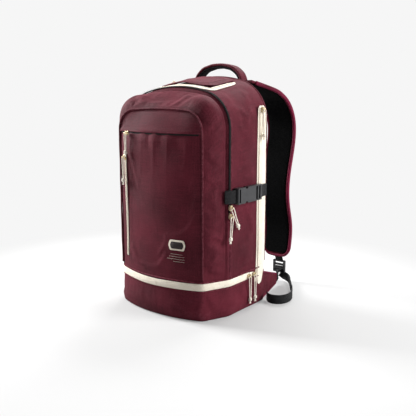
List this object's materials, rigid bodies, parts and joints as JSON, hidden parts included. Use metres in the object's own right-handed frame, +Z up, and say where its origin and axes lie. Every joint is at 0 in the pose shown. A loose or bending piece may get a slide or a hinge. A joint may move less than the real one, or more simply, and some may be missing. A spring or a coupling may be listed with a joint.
{
  "type": "travel backpack",
  "caption": "Upright travel backpack with zipped main, front and bottom compartments, lid, grab handle, padded shoulder straps and side compression straps.",
  "frame": {"origin": "on the floor, under the middle of the bag's body", "axes": "+Z up, -Y to the front panel, +Y to the wearer's back, +X to the right seen from the front"},
  "size_m": [0.3958, 0.377, 0.542],
  "materials": {
    "shell_fabric": "burgundy polyester canvas, plain weave, coated inside",
    "lining_fabric": "grey polyester lining",
    "black_mesh": "black spacer mesh over foam",
    "stiffener": "polyethylene sheet",
    "black_webbing": "black polyester webbing",
    "cream_zip_tape": "cream woven zip tape with coil",
    "black_zip_tape": "black reverse coil zip",
    "woven_label": "plain woven label, no lettering",
    "slider_metal": "pale gold plated zinc",
    "cream_cord": "braided cream cord",
    "black_acetal": "black acetal, fine spark texture"
  },
  "bodies": {
    "bag": {"main_shell": "shell_fabric", "bottom_compartment_shell": "shell_fabric", "base_board": "stiffener", "compartment_floor": "lining_fabric", "back_foam_panel": "black_mesh", "frame_sheet": "stiffener", "laptop_sleeve": "lining_fabric", "front_pouch": "shell_fabric", "pocket_panel": "shell_fabric", "front_yoke": "shell_fabric", "label_patch": "woven_label", "zip_top": "cream_zip_tape", "zip_arch": "black_zip_tape", "zip_base": "cream_zip_tape", "zip_side": "cream_zip_tape", "zip_front_level": "cream_zip_tape", "zip_front_upright": "cream_zip_tape", "wing_right": "shell_fabric", "wing_left": "shell_fabric", "buckle_female_right": "black_acetal", "buckle_female_left": "black_acetal", "side_webbing_front_right": "black_webbing", "side_webbing_front_left": "black_webbing", "adjuster_webbing_right": "black_webbing", "adjuster_webbing_left": "black_webbing"},
    "lid": {"top_lid": "shell_fabric"},
    "handle": {"handle_pad": "shell_fabric", "handle_lining": "black_mesh"},
    "strap_right": {"strap_pad_right": "shell_fabric", "strap_mesh_right": "black_mesh", "strap_end_tab_right": "black_webbing", "ladder_lock_right": "black_acetal"},
    "buckle_right": {"buckle_male_right": "black_acetal", "buckle_arms_right": "black_acetal", "side_webbing_rear_right": "black_webbing"},
    "strap_left": {"strap_pad_left": "shell_fabric", "strap_mesh_left": "black_mesh", "strap_end_tab_left": "black_webbing", "ladder_lock_left": "black_acetal"},
    "buckle_left": {"buckle_male_left": "black_acetal", "buckle_arms_left": "black_acetal", "side_webbing_rear_left": "black_webbing"},
    "slider_front_upright": {"slider_front_upright": "slider_metal"},
    "pull_front_upright": {"pull_front_upright": "cream_cord"},
    "slider_front_level": {"slider_front_level": "slider_metal"},
    "pull_front_level": {"pull_front_level": "cream_cord"},
    "slider_side": {"slider_side": "slider_metal"},
    "pull_side": {"pull_side": "cream_cord"},
    "slider_base_front": {"slider_base_front": "slider_metal"},
    "pull_base_front": {"pull_base_front": "cream_cord"},
    "slider_base_rear": {"slider_base_rear": "slider_metal"},
    "pull_base_rear": {"pull_base_rear": "cream_cord"},
    "slider_arch_upper": {"slider_arch_upper": "slider_metal"},
    "pull_arch_upper": {"pull_arch_upper": "cream_cord"},
    "slider_arch_lower": {"slider_arch_lower": "slider_metal"},
    "pull_arch_lower": {"pull_arch_lower": "cream_cord"},
    "slider_top": {"slider_top": "slider_metal"},
    "pull_top": {"pull_top": "cream_cord"}
  },
  "joints": [
    {"name": "lid_hinge", "type": "hinge", "parent": "bag", "child": "lid", "pos_m": [0, 0.079, 0.5165], "axis": [-1, 0, 0], "range_deg": [0, 100]},
    {"name": "handle_hinge", "type": "hinge", "parent": "bag", "child": "handle", "pos_m": [0, 0.117, 0.496], "axis": [1, 0, 0], "range_deg": [-60, 25]},
    {"name": "strap_right_swing", "type": "hinge", "parent": "bag", "child": "strap_right", "pos_m": [0.095, 0.108, 0.5], "axis": [1, 0, 0], "range_deg": [-2, 12], "deforming": ["adjuster_webbing_right"]},
    {"name": "buckle_right_release", "type": "slide", "parent": "bag", "child": "buckle_right", "axis": [0, 1, 0], "range_m": [0, 0.026], "deforming": ["buckle_arms_right", "side_webbing_rear_right"]},
    {"name": "strap_left_swing", "type": "hinge", "parent": "bag", "child": "strap_left", "pos_m": [-0.095, 0.108, 0.5], "axis": [1, 0, 0], "range_deg": [-2, 12], "deforming": ["adjuster_webbing_left"]},
    {"name": "buckle_left_release", "type": "slide", "parent": "bag", "child": "buckle_left", "axis": [0, 1, 0], "range_m": [0, 0.026], "deforming": ["buckle_arms_left", "side_webbing_rear_left"]},
    {"name": "slider_front_upright_travel", "type": "slide", "parent": "bag", "child": "slider_front_upright", "axis": [0, 0, -1], "range_m": [0, 0.2]},
    {"name": "slider_front_level_travel", "type": "hinge", "parent": "bag", "child": "slider_front_level", "pos_m": [0, 0.1757, 0.3885], "axis": [0, 0, 1], "range_deg": [0, 12]},
    {"name": "slider_side_travel", "type": "slide", "parent": "bag", "child": "slider_side", "axis": [0, 0, -1], "range_m": [0, 0.09]},
    {"name": "slider_base_front_travel", "type": "slide", "parent": "slider_base_rear", "child": "slider_base_front", "axis": [0, -1, 0], "range_m": [0, 0.03]},
    {"name": "slider_base_rear_travel", "type": "slide", "parent": "bag", "child": "slider_base_rear", "axis": [0, -1, 0], "range_m": [0, 0.03]},
    {"name": "slider_arch_upper_travel", "type": "slide", "parent": "slider_arch_lower", "child": "slider_arch_upper", "axis": [0, 0, 1], "range_m": [0, 0.085], "deforming": ["pull_arch_upper"]},
    {"name": "slider_arch_lower_travel", "type": "slide", "parent": "bag", "child": "slider_arch_lower", "axis": [0, 0, 1], "range_m": [0, 0.06], "deforming": ["pull_arch_lower", "side_webbing_front_right"]},
    {"name": "slider_top_travel", "type": "slide", "parent": "bag", "child": "slider_top", "axis": [0, -0.982, -0.1891], "range_m": [0, 0.06]},
    {"name": "pull_front_upright_swing", "type": "hinge", "parent": "slider_front_upright", "child": "pull_front_upright", "pos_m": [-0.09146, -0.11549, 0.336], "axis": [-0.954, 0.2997, 0], "range_deg": [0, 85]},
    {"name": "pull_front_level_swing", "type": "hinge", "parent": "slider_front_level", "child": "pull_front_level", "pos_m": [-0.07913, -0.11908, 0.3885], "axis": [-0.9658, 0.2593, 0], "range_deg": [0, 85]},
    {"name": "pull_side_swing", "type": "hinge", "parent": "slider_side", "child": "pull_side", "pos_m": [0.1502, 0.076, 0.438], "axis": [0, -1, 0], "range_deg": [0, 85]},
    {"name": "pull_base_front_swing", "type": "hinge", "parent": "slider_base_front", "child": "pull_base_front", "pos_m": [0.1502, 0.03, 0.0755], "axis": [0, -1, 0], "range_deg": [0, 85]},
    {"name": "pull_base_rear_swing", "type": "hinge", "parent": "slider_base_rear", "child": "pull_base_rear", "pos_m": [0.1502, 0.05, 0.0755], "axis": [0, -1, 0], "range_deg": [0, 85]},
    {"name": "pull_arch_upper_swing", "type": "hinge", "parent": "slider_arch_upper", "child": "pull_arch_upper", "pos_m": [0.1502, -0.0408, 0.239], "axis": [0, -1, 0], "range_deg": [0, 85]},
    {"name": "pull_arch_lower_swing", "type": "hinge", "parent": "slider_arch_lower", "child": "pull_arch_lower", "pos_m": [0.1502, -0.0408, 0.221], "axis": [0, -1, 0], "range_deg": [0, 85]},
    {"name": "pull_top_swing", "type": "hinge", "parent": "slider_top", "child": "pull_top", "pos_m": [-0.08282, 0.04625, 0.49983], "axis": [-0.056, 0.9837, 0.1711], "range_deg": [0, 120]}
  ]
}
